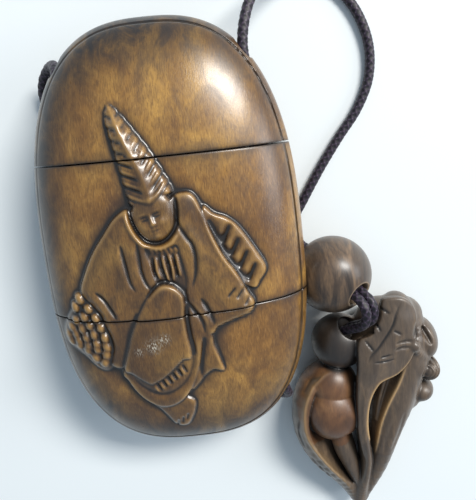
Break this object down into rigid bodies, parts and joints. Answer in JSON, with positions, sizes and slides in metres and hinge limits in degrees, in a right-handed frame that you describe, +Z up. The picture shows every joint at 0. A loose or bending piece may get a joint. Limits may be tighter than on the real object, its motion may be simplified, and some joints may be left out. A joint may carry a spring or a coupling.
{
  "type": "inro case with netsuke and bead",
  "caption": "Small carved wooden case in stacked sections that lift apart, with a silk cord, a round wooden bead and a carved toggle of pods and nuts.",
  "frame": {"origin": "centre of the small flat spot on the back of the middle section, on which the case lies", "axes": "+X across the case towards the bead, +Y along the case from its foot to its lid, +Z up out of the carved front"},
  "size_m": [0.0894, 0.1364, 0.029],
  "materials": {
    "boxwood": "satin, hand polished, dark patina in the recesses",
    "bead_wood": "satin, turned, grain rings",
    "toggle_wood": "satin, stained, worn bright on the edges",
    "silk_cord": "braided silk, matt"
  },
  "bodies": {
    "root": {"lid": "boxwood", "middle_case": "boxwood", "bottom_case": "boxwood", "bead": "bead_wood", "netsuke": "toggle_wood", "cord_held": "silk_cord", "cord_right": "silk_cord", "cord_left": "silk_cord"}
  },
  "joints": []
}
